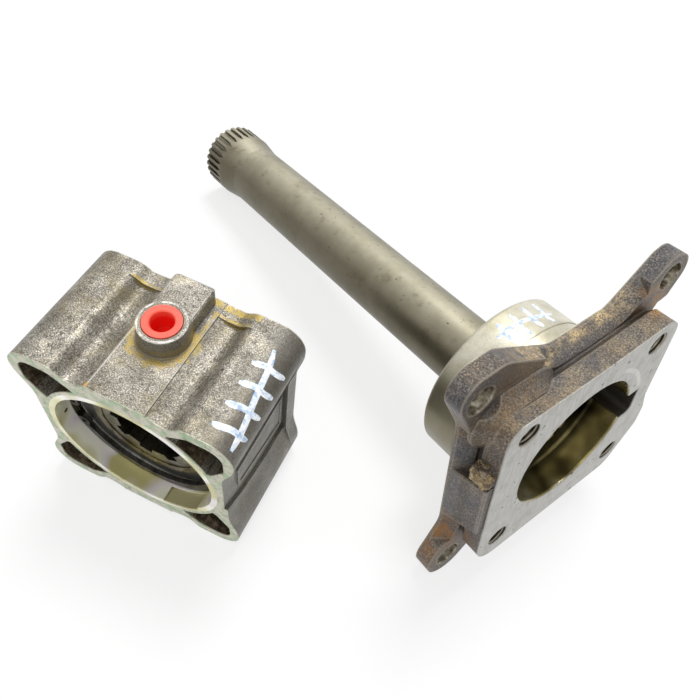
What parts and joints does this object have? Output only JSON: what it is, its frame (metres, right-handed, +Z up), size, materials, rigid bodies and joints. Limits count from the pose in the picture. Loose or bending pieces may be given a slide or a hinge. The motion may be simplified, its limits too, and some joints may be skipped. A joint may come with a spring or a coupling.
{
  "type": "power take off unit",
  "caption": "Power take off unit taken apart: aluminium clutch housing with splined pump coupling, and iron mounting flange with long splined drive shaft.",
  "frame": {"origin": "middle of the pilot bore at the clutch housing's front face; the housing stands on its lower lobes, 52.5 mm below, and the flange half lies on the same floor", "axes": "-Y out of the housing's front face, +X to the housing's right seen from the front, +Z up"},
  "size_m": [0.3023, 0.2477, 0.1454],
  "materials": {
    "cast_aluminium": "cast, oily",
    "cast_iron": "cast, with some rust; machined faces bright",
    "turned_steel": "turned",
    "bearing_steel": "ground",
    "spring_steel": "phosphated",
    "brass_cage": "machined",
    "nitrile_rubber": "moulded",
    "red_plastic": "moulded"
  },
  "bodies": {
    "unit": {"clutch_housing": "cast_aluminium", "port_plug": "red_plastic", "bearing_clip": "spring_steel", "pump_bearing_outer_ring": "bearing_steel", "pump_bearing_balls": "bearing_steel", "pump_bearing_cage": "brass_cage", "pump_bearing_seal": "nitrile_rubber", "spring_clip": "spring_steel", "mounting_flange": "cast_iron", "shaft_bearing_outer_ring": "bearing_steel", "shaft_bearing_balls": "bearing_steel", "shaft_bearing_cage": "brass_cage", "spigot_clip": "spring_steel", "shaft_seal_case": "spring_steel", "shaft_seal_lip": "nitrile_rubber"},
    "output": {"pump_coupling": "turned_steel", "pump_bearing_inner_ring": "bearing_steel"},
    "sleeve": {"shift_sleeve": "turned_steel"},
    "piston": {"shift_piston": "turned_steel", "piston_outer_seal": "nitrile_rubber", "piston_inner_seal": "nitrile_rubber", "front_thrust_washer": "bearing_steel", "rear_thrust_washer": "bearing_steel", "skirt_clip": "spring_steel", "return_spring": "spring_steel"},
    "shaft": {"drive_shaft": "turned_steel", "shaft_bearing_inner_ring": "bearing_steel", "shaft_clip": "spring_steel"}
  },
  "joints": [
    {"name": "output_spin", "type": "hinge", "parent": "unit", "child": "output", "pos_m": [0, 0.02, 0], "axis": [0, 1, 0], "continuous": true},
    {"name": "piston_slide", "type": "slide", "parent": "unit", "child": "piston", "axis": [0, 1, 0], "range_m": [0, 0.009], "stiffness_N_per_m": 4000, "deforming": ["return_spring"]},
    {"name": "sleeve_slide", "type": "slide", "parent": "output", "child": "sleeve", "axis": [0, 1, 0], "range_m": [0, 0.009]},
    {"name": "shaft_spin", "type": "hinge", "parent": "unit", "child": "shaft", "pos_m": [0.1768, 0.0868, 0.02335], "axis": [0.8603, -0.4749, 0.1854], "continuous": true}
  ],
  "couplings": [
    {"joint": "sleeve_slide", "follows": "piston_slide", "ratio": 1}
  ]
}
